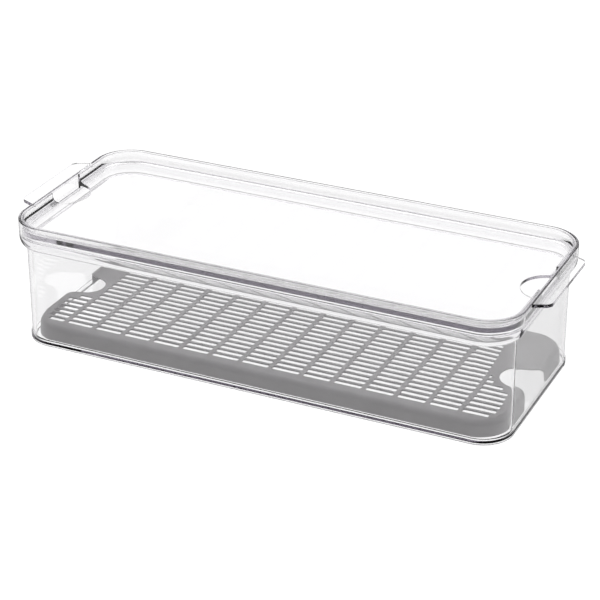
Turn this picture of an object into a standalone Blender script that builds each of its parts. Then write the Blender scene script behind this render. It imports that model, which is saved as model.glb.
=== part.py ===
"""Fridge bin: a clear bin with an end handle on each short side, a clear lid that drops inside
its rim, and a grey slotted tray that keeps the food off the floor.

Metres, +Z up. The origin is at the middle of the underside, +X runs along the bin.
"""

import math

import bmesh
import bpy
from mathutils import Vector

# Gap that touching pieces keep
FIT_GAP = 0.0003

# Rim of the bin: the largest outline. Insets below are measured inwards from it.
RIM_LENGTH = 0.3830
RIM_WIDTH = 0.1605
RIM_CORNER = 0.0274
HEIGHT = 0.0955
RIM_WALL = 0.0020
RIM_EDGE = 0.0005

# Walls, floor and the collar that carries the rim
WALL_INSET = 0.0051
WALL_THICKNESS = 0.0022
FLOOR_THICKNESS = 0.0030
FLOOR_FILLET = 0.0012
COLLAR_FOOT = 0.0750
COLLAR_TOP = 0.0820
LEDGE_TOP = 0.0832
LEDGE_INSET = 0.0055
LEDGE_FOOT = 0.0790
INNER_INSET = WALL_INSET + WALL_THICKNESS

# Bead round the base, which nests in the lid of the bin below
BEAD_INSET = 0.0041
BEAD_EDGE = 0.0008
BEAD_HEIGHT = 0.0044

# End handles: flat plates moulded on the rim
HANDLE_TOP = 0.0950
HANDLE_THICKNESS = 0.0025
HANDLE_REACH = 0.0118
HANDLE_ROOT_WIDTH = 0.0860
HANDLE_TIP_WIDTH = 0.0730
HANDLE_CORNER = 0.0060

# Lid: a shallow dish that sits on the ledge, inside the rim
LID_SEAT = LEDGE_TOP + FIT_GAP
LID_INSET = RIM_WALL + FIT_GAP
LID_WALL = 0.0016
LID_HEIGHT = 0.0117
LID_EDGE = 0.0004
PANEL_UNDERSIDE = 0.0021
PANEL_THICKNESS = 0.0022
PANEL_FILLET = 0.0008
PANEL_COVE = 0.0044
COVE_STEPS = 5
LID_NOTCH_RADIUS = 0.0193

# Tray: an upside-down pan on the floor of the bin
TRAY_SEAT = FLOOR_THICKNESS + FIT_GAP
TRAY_LENGTH = 0.3660
TRAY_WIDTH = 0.1434
TRAY_CORNER = 0.0240
TRAY_HEIGHT = 0.0117
TRAY_THICKNESS = 0.0012
DECK_THICKNESS = 0.0010
TRAY_DRAFT = 0.0005
TRAY_SHOULDER = 0.0050

# Slots in the tray's deck: rows along X, broken by narrow bridges. The bridges sit a little off
# the middle of the tray, and the corners behind the notches are left plain.
SLOT_WIDTH = 0.0045
SLOT_ROW_PITCH = 0.0065
SLOT_ROWS_EACH_SIDE = 9
SLOT_COLUMN_PITCH = 0.02368
SLOT_COLUMNS_EACH_SIDE = 6
SLOT_FIELD_SHIFT = -0.0028
SLOT_BRIDGE = 0.0031
SLOT_EDGE_MARGIN = 0.0035
SLOT_SHORTEST = 0.0015
SLOT_CLEAR_CENTRE = 0.1740
SLOT_CLEAR_RADIUS = 0.0203

# Finger notch in each end of the tray
TRAY_NOTCH_RADIUS = 0.0135
TRAY_NOTCH_CENTRE = 0.1730
TRAY_NOTCH_LOBE = 0.0140
TRAY_NOTCH_OVERRUN = 0.0002

CORNER_STEPS = 8
NOTCH_STEPS = 20
LOBE_STEPS = 6
CUT_OVERRUN = 0.0100


def clear_scene():
    """Remove the objects of the open scene."""
    for old in list(bpy.data.objects):
        bpy.data.objects.remove(old, do_unlink=True)


def arc(centre, radius, start, end, steps):
    """Points on a circle from one angle to another, in degrees."""
    points = []
    for step in range(steps + 1):
        angle = math.radians(start + (end - start) * step / steps)
        points.append((centre[0] + radius * math.cos(angle), centre[1] + radius * math.sin(angle)))
    return points


def quarter_curve(start, end, leaves_level, steps):
    """A quarter ellipse between two profile points, which leaves the first level or upright."""
    points = []
    for step in range(steps + 1):
        angle = math.pi / 2 * step / steps
        level, upright = math.sin(angle), 1 - math.cos(angle)
        if not leaves_level:
            level, upright = 1 - math.cos(angle), math.sin(angle)
        points.append((start[0] + (end[0] - start[0]) * level, start[1] + (end[1] - start[1]) * upright))
    return points


def rounded_rectangle(length, width, corner):
    """The corner points of a rounded rectangle, anticlockwise, from its first corner arc."""
    reach_x = length / 2 - corner
    reach_y = width / 2 - corner
    points = []
    for quarter, (side_x, side_y) in enumerate([(1, 1), (-1, 1), (-1, -1), (1, -1)]):
        centre = (side_x * reach_x, side_y * reach_y)
        points += arc(centre, corner, 90 * quarter, 90 * quarter + 90, CORNER_STEPS)
    return points


def outline_reach(length, width, corner, y):
    """How far a rounded rectangle reaches along X at one place across it."""
    past_corner = max(0.0, abs(y) - (width / 2 - corner))
    return length / 2 - corner + math.sqrt(corner**2 - past_corner**2)


def filleted(points, radius):
    """An open outline whose inner points are rounded off."""
    rounded = [points[0]]
    for before, corner, after in zip(points, points[1:], points[2:]):
        corner = Vector(corner)
        to_before = (Vector(before) - corner).normalized()
        to_after = (Vector(after) - corner).normalized()
        half_angle = to_before.angle(to_after) / 2
        centre = corner + (to_before + to_after).normalized() * radius / math.sin(half_angle)
        start = corner + to_before * radius / math.tan(half_angle) - centre
        sweep = to_after.angle(-to_before)
        for step in range(CORNER_STEPS + 1):
            turn = sweep * step / CORNER_STEPS
            spoke = Vector((
                start.x * math.cos(turn) - start.y * math.sin(turn),
                start.x * math.sin(turn) + start.y * math.cos(turn),
            ))
            rounded.append(tuple(centre + spoke))
    rounded.append(points[-1])
    return rounded


def add_object(name, shape, origin_z=0.0):
    """Turn a bmesh into a named object at a height."""
    bmesh.ops.recalc_face_normals(shape, faces=shape.faces)
    mesh = bpy.data.meshes.new(name)
    shape.to_mesh(mesh)
    shape.free()
    thing = bpy.data.objects.new(name, mesh)
    thing.location.z = origin_z
    bpy.context.collection.objects.link(thing)
    return thing


def dish(name, length, width, corner, profile, origin_z=0.0):
    """A closed shell: rounded rectangles joined along a profile of (inset, height) points."""
    shape = bmesh.new()
    rings = []
    for inset, height in profile:
        outline = rounded_rectangle(length - 2 * inset, width - 2 * inset, corner - inset)
        rings.append([shape.verts.new((x, y, height)) for x, y in outline])
    for lower, upper in zip(rings, rings[1:]):
        for index in range(len(lower)):
            after = (index + 1) % len(lower)
            shape.faces.new((lower[index], lower[after], upper[after], upper[index]))
    shape.faces.new(list(reversed(rings[0])))
    shape.faces.new(rings[-1])
    return add_object(name, shape, origin_z)


def add_prism(shape, outline, bottom, top):
    """Add an upright prism to a bmesh."""
    lower = [shape.verts.new((x, y, bottom)) for x, y in outline]
    upper = [shape.verts.new((x, y, top)) for x, y in outline]
    shape.faces.new(list(reversed(lower)))
    shape.faces.new(upper)
    for index in range(len(lower)):
        after = (index + 1) % len(lower)
        shape.faces.new((lower[index], lower[after], upper[after], upper[index]))


def at_both_ends(outline):
    """The outline at the +X end and its half turn at the -X end."""
    return [outline, [(-x, -y) for x, y in outline]]


def combine(piece, tool, operation):
    """Join a hidden tool to a piece, or cut it away."""
    tool.parent = piece
    tool.hide_render = True
    tool.display_type = "WIRE"
    step = piece.modifiers.new(tool.name, "BOOLEAN")
    step.operation = operation
    step.solver = "EXACT"
    step.object = tool


def plastic(name, colour, roughness, clearness=0.0):
    """A moulded plastic."""
    material = bpy.data.materials.new(name)
    material.use_nodes = True
    shader = material.node_tree.nodes["Principled BSDF"]
    shader.inputs["Base Color"].default_value = (*colour, 1.0)
    shader.inputs["Roughness"].default_value = roughness
    shader.inputs["Metallic"].default_value = 0.0
    shader.inputs["Transmission Weight"].default_value = clearness
    return material


def finish_piece(piece, material):
    """Give a piece its material and smooth its round faces."""
    piece.data.materials.append(material)
    piece.data.shade_smooth()
    piece.data.set_sharp_from_angle(angle=math.radians(30))


def bin_profile():
    """From the edge of the underside, up the outside, over the rim and down to the floor."""
    outside = [
        (BEAD_INSET + BEAD_EDGE, 0.0),
        (BEAD_INSET, BEAD_EDGE),
        (BEAD_INSET, BEAD_HEIGHT),
        (WALL_INSET, BEAD_HEIGHT + BEAD_EDGE),
    ]
    collar = quarter_curve((WALL_INSET, COLLAR_FOOT), (0.0, COLLAR_TOP), True, 5)
    rim = [
        (0.0, HEIGHT - RIM_EDGE),
        (RIM_EDGE, HEIGHT),
        (RIM_WALL - RIM_EDGE, HEIGHT),
        (RIM_WALL, HEIGHT - RIM_EDGE),
        (RIM_WALL, LEDGE_TOP),
    ]
    ledge = quarter_curve((LEDGE_INSET, LEDGE_TOP), (INNER_INSET, LEDGE_FOOT), True, 4)
    fillet_start = (INNER_INSET, FLOOR_THICKNESS + FLOOR_FILLET)
    fillet_end = (INNER_INSET + FLOOR_FILLET, FLOOR_THICKNESS)
    return outside + collar + rim + ledge + quarter_curve(fillet_start, fillet_end, False, 2)


def handle_outline():
    """Plan of the handle at the +X end, rooted in the middle of the rim's wall."""
    root_x = RIM_LENGTH / 2 - RIM_WALL / 2
    tip_x = RIM_LENGTH / 2 + HANDLE_REACH
    corners = [
        (root_x, -HANDLE_ROOT_WIDTH / 2),
        (tip_x, -HANDLE_TIP_WIDTH / 2),
        (tip_x, HANDLE_TIP_WIDTH / 2),
        (root_x, HANDLE_ROOT_WIDTH / 2),
    ]
    return filleted(corners, HANDLE_CORNER)


def make_bin_body(material):
    """The bin with its rim, ledge, base bead and two end handles, one moulding."""
    body = dish("bin_body", RIM_LENGTH, RIM_WIDTH, RIM_CORNER, bin_profile())
    plates = bmesh.new()
    for outline in at_both_ends(handle_outline()):
        add_prism(plates, outline, HANDLE_TOP - HANDLE_THICKNESS, HANDLE_TOP)
    combine(body, add_object("handle_plates", plates), "UNION")
    finish_piece(body, material)
    return body


def lid_profile():
    """From the underside of the panel, round the skirt and the wall, down the cove to the panel's top."""
    inner = LID_INSET + LID_WALL
    cove_height = PANEL_UNDERSIDE + PANEL_THICKNESS + PANEL_COVE
    skirt = [
        (inner + PANEL_FILLET, PANEL_UNDERSIDE),
        (inner, PANEL_UNDERSIDE - PANEL_FILLET),
        (inner, LID_EDGE),
        (inner - LID_EDGE, 0.0),
        (LID_INSET + LID_EDGE, 0.0),
        (LID_INSET, LID_EDGE),
    ]
    wall = [
        (LID_INSET, LID_HEIGHT - LID_EDGE),
        (LID_INSET + LID_EDGE, LID_HEIGHT),
        (inner - LID_EDGE, LID_HEIGHT),
        (inner, LID_HEIGHT - LID_EDGE),
    ]
    cove = arc((inner + PANEL_COVE, cove_height), PANEL_COVE, 180, 270, COVE_STEPS)
    return skirt + wall + cove


def make_lid(material):
    """The clear lid, with a half-round finger notch in each short side."""
    lid = dish("lid", RIM_LENGTH, RIM_WIDTH, RIM_CORNER, lid_profile(), LID_SEAT)
    edge_x = RIM_LENGTH / 2 - LID_INSET
    inner_arc = arc((edge_x, 0.0), LID_NOTCH_RADIUS, 90, 270, NOTCH_STEPS)
    past_edge = edge_x + CUT_OVERRUN
    outline = [(past_edge, LID_NOTCH_RADIUS), *inner_arc, (past_edge, -LID_NOTCH_RADIUS)]
    notches = bmesh.new()
    for end in at_both_ends(outline):
        add_prism(notches, end, -CUT_OVERRUN, LID_HEIGHT + CUT_OVERRUN)
    combine(lid, add_object("lid_notches", notches), "DIFFERENCE")
    finish_piece(lid, material)
    return lid


def tray_profile():
    """From the underside of the top, down inside the skirt and up its outside to the top."""
    shoulder_start = TRAY_HEIGHT - TRAY_SHOULDER
    inner_foot = (TRAY_THICKNESS, 0.0)
    inner_start = (TRAY_DRAFT + TRAY_THICKNESS, shoulder_start)
    inner_end = (TRAY_SHOULDER + TRAY_DRAFT, TRAY_HEIGHT - DECK_THICKNESS)
    outer_start = (TRAY_DRAFT, shoulder_start)
    outer_end = (TRAY_SHOULDER, TRAY_HEIGHT)
    inside = list(reversed(quarter_curve(inner_start, inner_end, False, 4)))
    outside = quarter_curve(outer_start, outer_end, False, 4)
    return inside + [inner_foot, (0.0, 0.0)] + outside


def slot_limit(y):
    """How far along X a slot may reach at one place across the tray."""
    flat_length = TRAY_LENGTH - 2 * TRAY_SHOULDER
    flat_width = TRAY_WIDTH - 2 * TRAY_SHOULDER
    limit = outline_reach(flat_length, flat_width, TRAY_CORNER - TRAY_SHOULDER, y) - SLOT_EDGE_MARGIN
    if abs(y) < SLOT_CLEAR_RADIUS:
        limit = SLOT_CLEAR_CENTRE - math.sqrt(SLOT_CLEAR_RADIUS**2 - y**2)
    return limit


def slot_spans():
    """The (start, end, y) of every slot."""
    slot_length = SLOT_COLUMN_PITCH - SLOT_BRIDGE
    field_reach = (SLOT_COLUMNS_EACH_SIDE + 0.5) * SLOT_COLUMN_PITCH + SLOT_BRIDGE / 2
    left_start = SLOT_FIELD_SHIFT - field_reach
    right_start = SLOT_FIELD_SHIFT + field_reach
    spans = []
    for row in range(-SLOT_ROWS_EACH_SIDE, SLOT_ROWS_EACH_SIDE + 1):
        y = row * SLOT_ROW_PITCH
        for column in range(-SLOT_COLUMNS_EACH_SIDE, SLOT_COLUMNS_EACH_SIDE + 1):
            middle = SLOT_FIELD_SHIFT + column * SLOT_COLUMN_PITCH
            spans.append((middle - slot_length / 2, middle + slot_length / 2, y))
        end = slot_limit(y)
        if row < 0 and end - right_start > SLOT_SHORTEST:
            spans.append((right_start, end, y))
        if row < 0 and end + left_start > SLOT_SHORTEST:
            spans.append((-end, left_start, y))
    return spans


def tray_notch_outline():
    """Plan of the finger notch at the +X end: a round bay between two rounded lobes."""
    lobe_x = TRAY_LENGTH / 2 + TRAY_NOTCH_OVERRUN - TRAY_NOTCH_LOBE
    apart_x = lobe_x - TRAY_NOTCH_CENTRE
    apart_y = math.sqrt((TRAY_NOTCH_RADIUS + TRAY_NOTCH_LOBE) ** 2 - apart_x**2)
    meet = math.degrees(math.atan2(apart_y, apart_x))
    bay = arc((TRAY_NOTCH_CENTRE, 0.0), TRAY_NOTCH_RADIUS, meet, 360 - meet, NOTCH_STEPS)
    upper_lobe = arc((lobe_x, apart_y), TRAY_NOTCH_LOBE, 0, meet - 180, LOBE_STEPS)
    lower_lobe = arc((lobe_x, -apart_y), TRAY_NOTCH_LOBE, 180 - meet, 0, LOBE_STEPS)
    past_edge = TRAY_LENGTH / 2 + CUT_OVERRUN
    ends = [(past_edge, -apart_y), (past_edge, apart_y)]
    return upper_lobe[:-1] + bay + lower_lobe[1:] + ends


def make_insert_tray(material):
    """The grey slotted tray, with a finger notch in each end."""
    tray = dish("insert_tray", TRAY_LENGTH, TRAY_WIDTH, TRAY_CORNER, tray_profile(), TRAY_SEAT)
    notches = bmesh.new()
    for end in at_both_ends(tray_notch_outline()):
        add_prism(notches, end, -CUT_OVERRUN, TRAY_HEIGHT + CUT_OVERRUN)
    combine(tray, add_object("tray_notches", notches), "DIFFERENCE")
    slots = bmesh.new()
    for start, end, y in slot_spans():
        low, high = y - SLOT_WIDTH / 2, y + SLOT_WIDTH / 2
        corners = [(start, low), (end, low), (end, high), (start, high)]
        add_prism(slots, corners, TRAY_HEIGHT - 2 * DECK_THICKNESS, TRAY_HEIGHT + DECK_THICKNESS)
    combine(tray, add_object("tray_slots", slots), "DIFFERENCE")
    finish_piece(tray, material)
    return tray


clear_scene()
clear_plastic = plastic("clear_plastic", (0.93, 0.94, 0.95), 0.03, clearness=1.0)
grey_plastic = plastic("grey_plastic", (0.30, 0.29, 0.30), 0.45)
make_bin_body(clear_plastic)
make_lid(clear_plastic)
make_insert_tray(grey_plastic)
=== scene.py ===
"""Looks of the fridge bin: clear bin, clear drop-in lid and grey slotted tray, in a plain white studio."""

import math

import bmesh
import bpy
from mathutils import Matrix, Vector


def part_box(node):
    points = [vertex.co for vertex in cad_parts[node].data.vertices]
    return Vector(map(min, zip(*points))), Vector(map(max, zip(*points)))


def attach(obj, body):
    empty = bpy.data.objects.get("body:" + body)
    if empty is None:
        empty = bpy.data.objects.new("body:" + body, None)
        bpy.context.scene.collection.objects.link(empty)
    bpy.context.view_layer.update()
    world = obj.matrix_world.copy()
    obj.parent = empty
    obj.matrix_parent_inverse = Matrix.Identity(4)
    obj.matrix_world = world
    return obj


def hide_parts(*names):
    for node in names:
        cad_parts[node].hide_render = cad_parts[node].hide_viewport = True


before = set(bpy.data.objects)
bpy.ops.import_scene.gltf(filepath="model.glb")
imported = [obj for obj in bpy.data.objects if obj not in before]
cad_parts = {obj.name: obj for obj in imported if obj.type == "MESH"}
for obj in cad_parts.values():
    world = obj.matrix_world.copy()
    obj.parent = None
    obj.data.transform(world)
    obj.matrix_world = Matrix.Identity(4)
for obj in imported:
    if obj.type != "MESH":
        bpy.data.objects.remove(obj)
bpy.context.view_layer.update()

MM = 0.001

# Boxes of the CAD nodes, which give every outer size
bin_low, bin_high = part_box("bin_body")
lid_low, lid_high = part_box("lid")
tray_low, tray_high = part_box("insert_tray")

# Bin
LID_INSET = 2.3 * MM
RIM_LENGTH = 2 * (lid_high.x + LID_INSET)
RIM_WIDTH = 2 * bin_high.y
RIM_CORNER = 27.4 * MM
RIM_TOP = bin_high.z
RIM_WALL = 2.0 * MM
WALL_INSET = 5.1 * MM
INNER_INSET = 7.3 * MM
FLOOR_TOP = 2.3 * MM
FOOT_RECESS = 0.6 * MM
COLLAR_FOOT = 75.0 * MM
COLLAR_TOP = 82.0 * MM
LEDGE_TOP = 83.2 * MM
LEDGE_INSET = 5.5 * MM
LEDGE_FOOT = 76.5 * MM
BEAD_INSET = 4.1 * MM
BEAD_TOP = 4.8 * MM
HANDLE_DROP = 0.5 * MM
HANDLE_TOP = RIM_TOP - HANDLE_DROP
HANDLE_THICKNESS = 2.5 * MM
HANDLE_ROOT_HALF = 43.0 * MM
HANDLE_TIP_HALF = 36.5 * MM
HANDLE_CORNER = 6.0 * MM
HANDLE_EDGE = 0.8 * MM
FOOT_ROUND_INSIDE = 0.3 * MM
FOOT_ROUND = 0.2 * MM
BEAD_FOOT_ROUND = 0.8 * MM
BEAD_TOP_ROUND = 0.4 * MM
BEAD_SLOPE = 0.6 * MM
WALL_FOOT_ROUND = 0.3 * MM
RIM_ROUND = 0.9 * MM
LEDGE_ROUND = 0.5 * MM
FLOOR_ROUND = 1.0 * MM
FLOOR_EDGE = 4 * MM
CURVE_LEAD = 1 * MM
LEDGE_LEAD = 0.5 * MM

# Lid
LID_WALL = 1.6 * MM
SKIRT_DEPTH = 2.1 * MM
PANEL_THICKNESS = 2.2 * MM
PANEL_BOTTOM = lid_low.z + SKIRT_DEPTH
PANEL_TOP = PANEL_BOTTOM + PANEL_THICKNESS
PANEL_COVE = 5.0 * MM
LID_NOTCH_RADIUS = 19.3 * MM
LID_FOOT_ROUND = 0.4 * MM
LID_RIM_ROUND = 0.7 * MM
LID_CUT_ROUND = 0.25 * MM
PANEL_ROUND = 0.8 * MM
PANEL_EDGE = 6 * MM

# Tray
TRAY_CORNER = 24.0 * MM
TRAY_SKIN = 1.2 * MM
DECK = 1.0 * MM
TRAY_DRAFT = 0.5 * MM
TRAY_SHOULDER = 5.0 * MM
TRAY_FOOT_ROUND = 0.3 * MM
TRAY_CUT_ROUND = 0.2 * MM
SLOT_HALF_WIDTH = 2.25 * MM
SLOT_ROUND = 1.2 * MM
SHORT_SLOT_CORNERS = 2.1
SLOT_ROW_PITCH = 6.5 * MM
SLOT_ROWS_EACH_SIDE = 9
SLOT_COLUMN_PITCH = 23.68 * MM
SLOT_COLUMNS_EACH_SIDE = 6
SLOT_FIELD_SHIFT = -2.8 * MM
SLOT_BRIDGE = 3.1 * MM
SLOT_EDGE_MARGIN = 3.5 * MM
SLOT_SHORTEST = 1.5 * MM
SLOT_CLEAR_CENTRE = 174.0 * MM
SLOT_CLEAR_RADIUS = 20.3 * MM
BAY_RADIUS = 13.5 * MM
BAY_CENTRE = 173.0 * MM
LOBE_RADIUS = 14.0 * MM
LOBE_OVERRUN = 0.2 * MM

# Plastics: linear colours, tint density per metre, and (blobs per metre, detail) of each noise
CLEAR_IOR = 1.52
CLEAR_TINT = (0.50, 0.47, 0.53, 1.0)
CLEAR_TINT_DENSITY = 22.0
CLEAR_ROUGHNESS = (0.0, 0.02)
CLEAR_ROUGHNESS_NOISE = (60, 2)
CLEAR_RIPPLE_NOISE = (25, 1)
CLEAR_RIPPLE_STRENGTH = 0.03
CLEAR_RIPPLE_HEIGHT = 1 * MM
GREY_DARK = (0.45, 0.44, 0.45, 1.0)
GREY_LIGHT = (0.49, 0.48, 0.49, 1.0)
GREY_MOTTLE_NOISE = (90, 3)
GREY_ROUGHNESS = (0.42, 0.55)
GREY_ROUGHNESS_NOISE = (400, 2)
GREY_GRAIN_NOISE = (2500, 2)
GREY_GRAIN_STRENGTH = 0.25
GREY_GRAIN_HEIGHT = 0.2 * MM
NOISE_MIDDLE = (0.3, 0.7)

# Studio: strengths, and (start, end) of each fade along its direction
BACKDROP = 1.1
DIM_FRONT = 0.2
DIM_HORIZON = 0.3
SOFT_BOX = 1.7
TO_FRONT = (0.42, -0.91, 0.0)
UPWARD = (0.0, 0.0, 1.0)
FRONT_FADE = (0.1, 0.6)
HORIZON_FADE = (0.05, 0.32)
OVERHEAD_FADE = (0.5, 0.85)
FLOOR_SIZE = 6.0
FLOOR_DROP = 0.2 * MM
LIGHT_BOUNCES = 32

# Camera
LENS = 121.5
SENSOR_WIDTH = 36.0
CAMERA_PLACE = (0.5540, -1.1796, 0.6962)
CAMERA_PITCH = 26.79
CAMERA_TURN = 25.0

# Steps of the curves, overruns and limits; angles are in degrees
CORNER_STEPS = 24
FILLET_STEPS = 6
COLLAR_STEPS = 12
LEDGE_STEPS = 16
HANDLE_STEPS = 12
HANDLE_EDGE_STEPS = 3
LID_NOTCH_STEPS = 48
SHOULDER_STEPS = 10
BAY_STEPS = 40
LOBE_STEPS = 20
SLOT_CORNER_STEPS = 4
CUT_EDGE_STEPS = 2
CUT_OVERRUN = 10 * MM
SAME_HEIGHT = 1e-6
CUT_EDGE_BEND = 50
SHARP_BEND = 35
FLAT_FACE_WEIGHT = 100


def arc(centre, radius, start, end, steps):
    """Points on a circle from one angle to another, in degrees."""
    points = []
    for step in range(steps + 1):
        angle = math.radians(start + (end - start) * step / steps)
        points.append((centre[0] + radius * math.cos(angle), centre[1] + radius * math.sin(angle)))
    return points


def quarter_curve(start, end, leaves_level, steps):
    """A quarter ellipse between two profile points, which leaves the first level or upright."""
    points = []
    for step in range(steps + 1):
        angle = math.pi / 2 * step / steps
        level, upright = math.sin(angle), 1 - math.cos(angle)
        if not leaves_level:
            level, upright = 1 - math.cos(angle), math.sin(angle)
        points.append((start[0] + (end[0] - start[0]) * level, start[1] + (end[1] - start[1]) * upright))
    return points


def rounded_path(corners, steps=FILLET_STEPS):
    """A path through (x, y, radius) corners, each rounded by its own radius."""
    path = []
    last = len(corners) - 1
    for index, (x, y, radius) in enumerate(corners):
        corner = Vector((x, y))
        if index in (0, last) or radius == 0:
            path.append((x, y))
            continue
        to_before = (Vector(corners[index - 1][:2]) - corner).normalized()
        to_after = (Vector(corners[index + 1][:2]) - corner).normalized()
        half_angle = to_before.angle(to_after) / 2
        centre = corner + (to_before + to_after).normalized() * radius / math.sin(half_angle)
        start = corner + to_before * radius / math.tan(half_angle) - centre
        end = corner + to_after * radius / math.tan(half_angle) - centre
        sweep = math.atan2(start.x * end.y - start.y * end.x, start.dot(end))
        for step in range(steps + 1):
            turn = sweep * step / steps
            path.append((
                centre.x + start.x * math.cos(turn) - start.y * math.sin(turn),
                centre.y + start.x * math.sin(turn) + start.y * math.cos(turn),
            ))
    return path


def rounded_rectangle(length, width, corner):
    """The points of a rounded rectangle, anticlockwise."""
    points = []
    for quarter, (side_x, side_y) in enumerate([(1, 1), (-1, 1), (-1, -1), (1, -1)]):
        centre = (side_x * (length / 2 - corner), side_y * (width / 2 - corner))
        points += arc(centre, corner, 90 * quarter, 90 * quarter + 90, CORNER_STEPS)
    return points


def new_object(name, shape):
    """Turn a bmesh into an object of the scene."""
    bmesh.ops.recalc_face_normals(shape, faces=shape.faces)
    mesh = bpy.data.meshes.new(name)
    shape.to_mesh(mesh)
    shape.free()
    thing = bpy.data.objects.new(name, mesh)
    bpy.context.collection.objects.link(thing)
    return thing


def dish(name, length, width, corner, profile):
    """A closed shell: rounded rectangles joined along a profile of (inset, height) points."""
    shape = bmesh.new()
    rings = []
    for inset, height in profile:
        outline = rounded_rectangle(length - 2 * inset, width - 2 * inset, corner - inset)
        rings.append([shape.verts.new((x, y, height)) for x, y in outline])
    for lower, upper in zip(rings, rings[1:]):
        for index in range(len(lower)):
            after = (index + 1) % len(lower)
            shape.faces.new((lower[index], lower[after], upper[after], upper[index]))
    shape.faces.new(list(reversed(rings[0])))
    shape.faces.new(rings[-1])
    return new_object(name, shape)


def add_prism(shape, outline, bottom, top):
    """Add an upright prism to a bmesh and return its vertices."""
    lower = [shape.verts.new((x, y, bottom)) for x, y in outline]
    upper = [shape.verts.new((x, y, top)) for x, y in outline]
    shape.faces.new(list(reversed(lower)))
    shape.faces.new(upper)
    for index in range(len(lower)):
        after = (index + 1) % len(lower)
        shape.faces.new((lower[index], lower[after], upper[after], upper[index]))
    return lower + upper


def at_both_ends(outline):
    """The outline at the +X end and its half turn at the -X end."""
    return [outline, [(-x, -y) for x, y in outline]]


def settle(piece):
    """Turn a piece's modifiers into its mesh."""
    graph = bpy.context.evaluated_depsgraph_get()
    mesh = bpy.data.meshes.new_from_object(piece.evaluated_get(graph))
    piece.modifiers.clear()
    piece.data = mesh


def combine(piece, shape, operation):
    """Join a tool shape to a piece, or cut it away."""
    tool = new_object("tool", shape)
    step = piece.modifiers.new("combine", "BOOLEAN")
    step.operation = operation
    step.solver = "EXACT"
    step.object = tool
    settle(piece)
    bpy.data.objects.remove(tool, do_unlink=True)


def soften(piece, width):
    """Round the edges that a cut left sharp."""
    bevel = piece.modifiers.new("edges", "BEVEL")
    bevel.width = width
    bevel.segments = CUT_EDGE_STEPS
    bevel.limit_method = "ANGLE"
    bevel.angle_limit = math.radians(CUT_EDGE_BEND)
    settle(piece)


def shade(piece):
    """Smooth shading that keeps flat faces flat."""
    piece.data.shade_smooth()
    piece.data.set_sharp_from_angle(angle=math.radians(SHARP_BEND))
    weighted = piece.modifiers.new("flat_faces_lead", "WEIGHTED_NORMAL")
    weighted.weight = FLAT_FACE_WEIGHT
    weighted.keep_sharp = True
    settle(piece)


# Materials


def node_tree(name):
    """A new material with its tree, its shader and its output."""
    material = bpy.data.materials.new(name)
    material.use_nodes = True
    tree = material.node_tree
    return material, tree, tree.nodes["Principled BSDF"], tree.nodes["Material Output"]


def noise(tree, scale, detail):
    """A noise texture in object coordinates, scale in blobs per metre."""
    place = tree.nodes.new("ShaderNodeTexCoord")
    texture = tree.nodes.new("ShaderNodeTexNoise")
    texture.inputs["Scale"].default_value = scale
    texture.inputs["Detail"].default_value = detail
    tree.links.new(place.outputs["Object"], texture.inputs["Vector"])
    return texture.outputs["Fac"]


def ranged(tree, value, low, high):
    """Map a noise's middle range to a range of values."""
    spread = tree.nodes.new("ShaderNodeMapRange")
    spread.inputs["From Min"].default_value = NOISE_MIDDLE[0]
    spread.inputs["From Max"].default_value = NOISE_MIDDLE[1]
    spread.inputs["To Min"].default_value = low
    spread.inputs["To Max"].default_value = high
    tree.links.new(value, spread.inputs["Value"])
    return spread.outputs["Result"]


def bumped(tree, shader, height, strength, distance):
    """Raise the surface by a height value."""
    bump = tree.nodes.new("ShaderNodeBump")
    bump.inputs["Strength"].default_value = strength
    bump.inputs["Distance"].default_value = distance
    tree.links.new(height, bump.inputs["Height"])
    tree.links.new(bump.outputs["Normal"], shader.inputs["Normal"])


def make_clear_plastic():
    """Polished clear plastic: faint ripples from moulding, and a grey tint through its depth."""
    material, tree, shader, output = node_tree("clear_plastic")
    shader.inputs["Base Color"].default_value = (1.0, 1.0, 1.0, 1.0)
    shader.inputs["Transmission Weight"].default_value = 1.0
    shader.inputs["IOR"].default_value = CLEAR_IOR
    haze = ranged(tree, noise(tree, *CLEAR_ROUGHNESS_NOISE), *CLEAR_ROUGHNESS)
    tree.links.new(haze, shader.inputs["Roughness"])
    ripples = noise(tree, *CLEAR_RIPPLE_NOISE)
    bumped(tree, shader, ripples, CLEAR_RIPPLE_STRENGTH, CLEAR_RIPPLE_HEIGHT)
    depth = tree.nodes.new("ShaderNodeVolumeAbsorption")
    depth.inputs["Color"].default_value = CLEAR_TINT
    depth.inputs["Density"].default_value = CLEAR_TINT_DENSITY
    tree.links.new(depth.outputs["Volume"], output.inputs["Volume"])
    return material


def make_grey_plastic():
    """Satin grey plastic with a fine moulded grain."""
    material, tree, shader, _ = node_tree("grey_plastic")
    mix = tree.nodes.new("ShaderNodeMix")
    mix.data_type = "RGBA"
    mix.inputs["A"].default_value = GREY_DARK
    mix.inputs["B"].default_value = GREY_LIGHT
    mottle = ranged(tree, noise(tree, *GREY_MOTTLE_NOISE), 0.0, 1.0)
    tree.links.new(mottle, mix.inputs["Factor"])
    tree.links.new(mix.outputs["Result"], shader.inputs["Base Color"])
    satin = ranged(tree, noise(tree, *GREY_ROUGHNESS_NOISE), *GREY_ROUGHNESS)
    tree.links.new(satin, shader.inputs["Roughness"])
    grain = noise(tree, *GREY_GRAIN_NOISE)
    bumped(tree, shader, grain, GREY_GRAIN_STRENGTH, GREY_GRAIN_HEIGHT)
    return material


# Pieces


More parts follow.
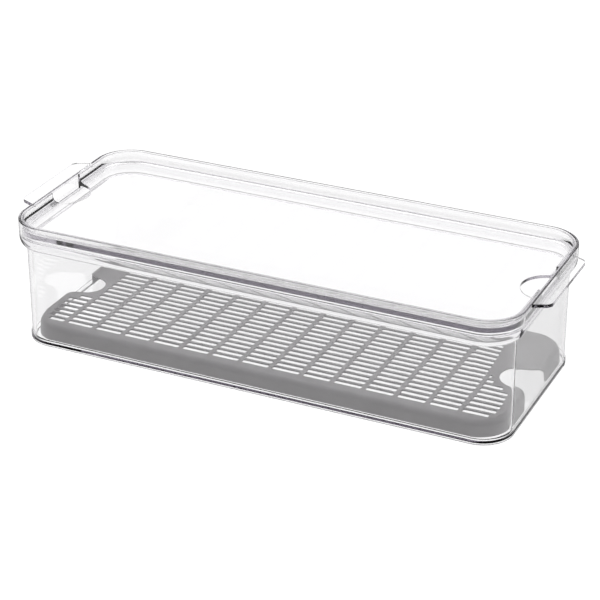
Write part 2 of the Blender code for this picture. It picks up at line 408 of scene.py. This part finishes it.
def bin_profile():
    """From the edge of the underside, up the outside, over the rim and down to the floor."""
    foot = rounded_path([
        (INNER_INSET + FLOOR_EDGE, FOOT_RECESS, 0.0),
        (INNER_INSET, FOOT_RECESS, FOOT_ROUND_INSIDE),
        (INNER_INSET, 0.0, FOOT_ROUND),
        (BEAD_INSET, 0.0, BEAD_FOOT_ROUND),
        (BEAD_INSET, BEAD_TOP, BEAD_TOP_ROUND),
        (WALL_INSET, BEAD_TOP + BEAD_SLOPE, WALL_FOOT_ROUND),
        (WALL_INSET, COLLAR_FOOT - CURVE_LEAD, 0.0),
    ])
    collar = quarter_curve((WALL_INSET, COLLAR_FOOT), (0.0, COLLAR_TOP), True, COLLAR_STEPS)
    rim = rounded_path([
        (0.0, COLLAR_TOP + CURVE_LEAD, 0.0),
        (0.0, RIM_TOP, RIM_ROUND),
        (RIM_WALL, RIM_TOP, RIM_ROUND),
        (RIM_WALL, LEDGE_TOP, LEDGE_ROUND),
        (LEDGE_INSET - LEDGE_LEAD, LEDGE_TOP, 0.0),
    ])
    ledge = quarter_curve((LEDGE_INSET, LEDGE_TOP), (INNER_INSET, LEDGE_FOOT), True, LEDGE_STEPS)
    inside = rounded_path([
        (INNER_INSET, LEDGE_FOOT - CURVE_LEAD, 0.0),
        (INNER_INSET, FLOOR_TOP, FLOOR_ROUND),
        (INNER_INSET + FLOOR_EDGE, FLOOR_TOP, 0.0),
    ])
    return foot + collar + rim + ledge + inside


def handle_outline():
    """Plan of the handle at the +X end, rooted in the middle of the rim's wall."""
    root_x = RIM_LENGTH / 2 - RIM_WALL / 2
    return rounded_path([
        (root_x, -HANDLE_ROOT_HALF, 0.0),
        (bin_high.x, -HANDLE_TIP_HALF, HANDLE_CORNER),
        (bin_high.x, HANDLE_TIP_HALF, HANDLE_CORNER),
        (root_x, HANDLE_ROOT_HALF, 0.0),
    ], steps=HANDLE_STEPS)


def is_level(edge):
    """Whether both ends of an edge are equally high."""
    return abs(edge.verts[0].co.z - edge.verts[1].co.z) < SAME_HEIGHT


def reaches_past_rim(edge):
    """Whether an edge has an end outside the rim."""
    return any(abs(vert.co.x) > RIM_LENGTH / 2 for vert in edge.verts)


def make_bin():
    """The clear bin, with both handles in one piece with its rim."""
    piece = dish("bin_clear", RIM_LENGTH, RIM_WIDTH, RIM_CORNER, bin_profile())
    plates = bmesh.new()
    for outline in at_both_ends(handle_outline()):
        add_prism(plates, outline, HANDLE_TOP - HANDLE_THICKNESS, HANDLE_TOP)
    rounded = [edge for edge in plates.edges if is_level(edge) and reaches_past_rim(edge)]
    bmesh.ops.bevel(
        plates,
        geom=rounded,
        offset=HANDLE_EDGE,
        segments=HANDLE_EDGE_STEPS,
        profile=0.5,
        affect="EDGES",
    )
    combine(piece, plates, "UNION")
    shade(piece)
    return piece


def lid_profile():
    """From the underside of the panel, round the skirt and the wall, to the top of the panel."""
    inner = LID_INSET + LID_WALL
    return rounded_path([
        (inner + PANEL_EDGE, PANEL_BOTTOM, 0.0),
        (inner, PANEL_BOTTOM, PANEL_ROUND),
        (inner, lid_low.z, LID_FOOT_ROUND),
        (LID_INSET, lid_low.z, LID_FOOT_ROUND),
        (LID_INSET, lid_high.z, LID_RIM_ROUND),
        (inner, lid_high.z, LID_RIM_ROUND),
        (inner, PANEL_TOP, PANEL_COVE),
        (inner + PANEL_EDGE, PANEL_TOP, 0.0),
    ])


def make_lid():
    """The clear lid with its two finger notches."""
    piece = dish("lid_clear", RIM_LENGTH, RIM_WIDTH, RIM_CORNER, lid_profile())
    past_edge = lid_high.x + CUT_OVERRUN
    inner_arc = arc((lid_high.x, 0.0), LID_NOTCH_RADIUS, 90, 270, LID_NOTCH_STEPS)
    outline = [(past_edge, LID_NOTCH_RADIUS), *inner_arc, (past_edge, -LID_NOTCH_RADIUS)]
    notches = bmesh.new()
    for end in at_both_ends(outline):
        add_prism(notches, end, lid_low.z - CUT_OVERRUN, lid_high.z + CUT_OVERRUN)
    combine(piece, notches, "DIFFERENCE")
    soften(piece, LID_CUT_ROUND)
    shade(piece)
    return piece


def tray_profile():
    """From the underside of the deck, down inside the skirt and up its outside to the deck."""
    foot, top = tray_low.z, tray_high.z
    shoulder = top - TRAY_SHOULDER
    inner_start = (TRAY_DRAFT + TRAY_SKIN, shoulder)
    inner_end = (TRAY_DRAFT + TRAY_SHOULDER, top - DECK)
    inside = list(reversed(quarter_curve(inner_start, inner_end, False, SHOULDER_STEPS)))
    edge = rounded_path([
        inner_start + (0.0,),
        (TRAY_SKIN, foot, TRAY_FOOT_ROUND),
        (0.0, foot, TRAY_FOOT_ROUND),
        (TRAY_DRAFT, shoulder, 0.0),
    ])
    outside = quarter_curve((TRAY_DRAFT, shoulder), (TRAY_SHOULDER, top), False, SHOULDER_STEPS)
    return inside + edge[1:-1] + outside


def outline_reach(length, width, corner, y):
    """How far a rounded rectangle reaches along X at one place across it."""
    past_corner = max(0.0, abs(y) - (width / 2 - corner))
    return length / 2 - corner + math.sqrt(corner**2 - past_corner**2)


def slot_limit(y):
    """How far along X a slot may reach at one place across the tray."""
    flat_length = 2 * (tray_high.x - TRAY_SHOULDER)
    flat_width = 2 * (tray_high.y - TRAY_SHOULDER)
    limit = outline_reach(flat_length, flat_width, TRAY_CORNER - TRAY_SHOULDER, y) - SLOT_EDGE_MARGIN
    if abs(y) < SLOT_CLEAR_RADIUS:
        limit = SLOT_CLEAR_CENTRE - math.sqrt(SLOT_CLEAR_RADIUS**2 - y**2)
    return limit


def slot_spans():
    """The (start, end, y) of every slot."""
    slot_length = SLOT_COLUMN_PITCH - SLOT_BRIDGE
    field_reach = (SLOT_COLUMNS_EACH_SIDE + 0.5) * SLOT_COLUMN_PITCH + SLOT_BRIDGE / 2
    left_start = SLOT_FIELD_SHIFT - field_reach
    right_start = SLOT_FIELD_SHIFT + field_reach
    spans = []
    for row in range(-SLOT_ROWS_EACH_SIDE, SLOT_ROWS_EACH_SIDE + 1):
        y = row * SLOT_ROW_PITCH
        for column in range(-SLOT_COLUMNS_EACH_SIDE, SLOT_COLUMNS_EACH_SIDE + 1):
            middle = SLOT_FIELD_SHIFT + column * SLOT_COLUMN_PITCH
            spans.append((middle - slot_length / 2, middle + slot_length / 2, y))
        end = slot_limit(y)
        if row < 0 and end - right_start > SLOT_SHORTEST:
            spans.append((right_start, end, y))
        if row < 0 and end + left_start > SLOT_SHORTEST:
            spans.append((-end, left_start, y))
    return spans


def slot_outline(start, end, y):
    """Plan of one slot, a rectangle with rounded corners, which are smaller on a very short one."""
    corner = min(SLOT_ROUND, (end - start) / SHORT_SLOT_CORNERS)
    left, right = start + corner, end - corner
    low, high = y - SLOT_HALF_WIDTH + corner, y + SLOT_HALF_WIDTH - corner
    outline = []
    for quarter, centre in enumerate([(right, high), (left, high), (left, low), (right, low)]):
        outline += arc(centre, corner, 90 * quarter, 90 * quarter + 90, SLOT_CORNER_STEPS)
    return outline


def bay_outline():
    """Plan of the finger notch at the +X end: a round bay between two rounded lobes."""
    lobe_x = tray_high.x + LOBE_OVERRUN - LOBE_RADIUS
    apart_x = lobe_x - BAY_CENTRE
    apart_y = math.sqrt((BAY_RADIUS + LOBE_RADIUS) ** 2 - apart_x**2)
    meet = math.degrees(math.atan2(apart_y, apart_x))
    bay = arc((BAY_CENTRE, 0.0), BAY_RADIUS, meet, 360 - meet, BAY_STEPS)
    upper_lobe = arc((lobe_x, apart_y), LOBE_RADIUS, 0, meet - 180, LOBE_STEPS)
    lower_lobe = arc((lobe_x, -apart_y), LOBE_RADIUS, 180 - meet, 0, LOBE_STEPS)
    past_edge = tray_high.x + CUT_OVERRUN
    ends = [(past_edge, -apart_y), (past_edge, apart_y)]
    return upper_lobe[:-1] + bay + lower_lobe[1:] + ends


def make_tray():
    """The grey tray with its slotted deck and finger notches."""
    piece = dish("tray_grey", 2 * tray_high.x, 2 * tray_high.y, TRAY_CORNER, tray_profile())
    notches = bmesh.new()
    for end in at_both_ends(bay_outline()):
        add_prism(notches, end, tray_low.z - CUT_OVERRUN, tray_high.z + CUT_OVERRUN)
    combine(piece, notches, "DIFFERENCE")
    slots = bmesh.new()
    for start, end, y in slot_spans():
        add_prism(slots, slot_outline(start, end, y), tray_high.z - 2 * DECK, tray_high.z + DECK)
    combine(piece, slots, "DIFFERENCE")
    soften(piece, TRAY_CUT_ROUND)
    shade(piece)
    return piece


# Studio


def make_floor():
    """A plain white light table. It lights the piece from below, and doesn't show in its reflections."""
    shape = bmesh.new()
    bmesh.ops.create_grid(shape, x_segments=1, y_segments=1, size=FLOOR_SIZE)
    floor = new_object("floor", shape)
    floor.location.z = -FLOOR_DROP
    floor.visible_glossy = False
    material, _, shader, _ = node_tree("light_table")
    shader.inputs["Base Color"].default_value = (0.0, 0.0, 0.0, 1.0)
    shader.inputs["Roughness"].default_value = 1.0
    shader.inputs["Specular IOR Level"].default_value = 0.0
    shader.inputs["Emission Color"].default_value = (1.0, 1.0, 1.0, 1.0)
    shader.inputs["Emission Strength"].default_value = BACKDROP
    floor.data.materials.append(material)


def sky_fade(tree, direction, axis, fade_range, low, high):
    """A smooth change of brightness along one direction of the sky."""
    along = tree.nodes.new("ShaderNodeVectorMath")
    along.operation = "DOT_PRODUCT"
    along.inputs[1].default_value = axis
    tree.links.new(direction, along.inputs[0])
    fade = tree.nodes.new("ShaderNodeMapRange")
    fade.interpolation_type = "SMOOTHSTEP"
    fade.inputs["From Min"].default_value = fade_range[0]
    fade.inputs["From Max"].default_value = fade_range[1]
    fade.inputs["To Min"].default_value = low
    fade.inputs["To Max"].default_value = high
    tree.links.new(along.outputs["Value"], fade.inputs["Value"])
    return fade.outputs["Result"]


def make_world():
    """A soft box overhead, a white backdrop behind, and a dim room in front and round the horizon."""
    world = bpy.data.worlds.new("studio")
    world.use_nodes = True
    tree = world.node_tree
    direction = tree.nodes.new("ShaderNodeTexCoord").outputs["Generated"]
    strength = sky_fade(tree, direction, TO_FRONT, FRONT_FADE, BACKDROP, DIM_FRONT)
    horizon = sky_fade(tree, direction, UPWARD, HORIZON_FADE, DIM_HORIZON, 1.0)
    overhead = sky_fade(tree, direction, UPWARD, OVERHEAD_FADE, 1.0, SOFT_BOX)
    for factor in (horizon, overhead):
        multiply = tree.nodes.new("ShaderNodeMath")
        multiply.operation = "MULTIPLY"
        tree.links.new(strength, multiply.inputs[0])
        tree.links.new(factor, multiply.inputs[1])
        strength = multiply.outputs["Value"]
    tree.links.new(strength, tree.nodes["Background"].inputs["Strength"])
    tree.nodes["Background"].inputs["Color"].default_value = (1.0, 1.0, 1.0, 1.0)
    bpy.context.scene.world = world


def make_camera():
    """A long lens, above and to the right of the front."""
    data = bpy.data.cameras.new("camera")
    data.lens = LENS
    data.sensor_width = SENSOR_WIDTH
    camera = bpy.data.objects.new("camera", data)
    camera.location = CAMERA_PLACE
    camera.rotation_euler = (math.radians(90 - CAMERA_PITCH), 0.0, math.radians(CAMERA_TURN))
    bpy.context.collection.objects.link(camera)
    bpy.context.scene.camera = camera


def finish_piece(piece, material, body, node):
    """Dress a piece and hand it to its body in place of the CAD node."""
    piece.data.materials.clear()
    piece.data.materials.append(material)
    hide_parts(node)
    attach(piece, body)


make_camera()
make_world()
make_floor()
bpy.context.scene.view_settings.view_transform = "Standard"
bpy.context.scene.cycles.max_bounces = LIGHT_BOUNCES
bpy.context.scene.cycles.transmission_bounces = LIGHT_BOUNCES
bpy.context.scene.cycles.glossy_bounces = LIGHT_BOUNCES
clear_plastic = make_clear_plastic()
grey_plastic = make_grey_plastic()
finish_piece(make_bin(), clear_plastic, "bin", "bin_body")
finish_piece(make_lid(), clear_plastic, "lid", "lid")
finish_piece(make_tray(), grey_plastic, "tray", "insert_tray")
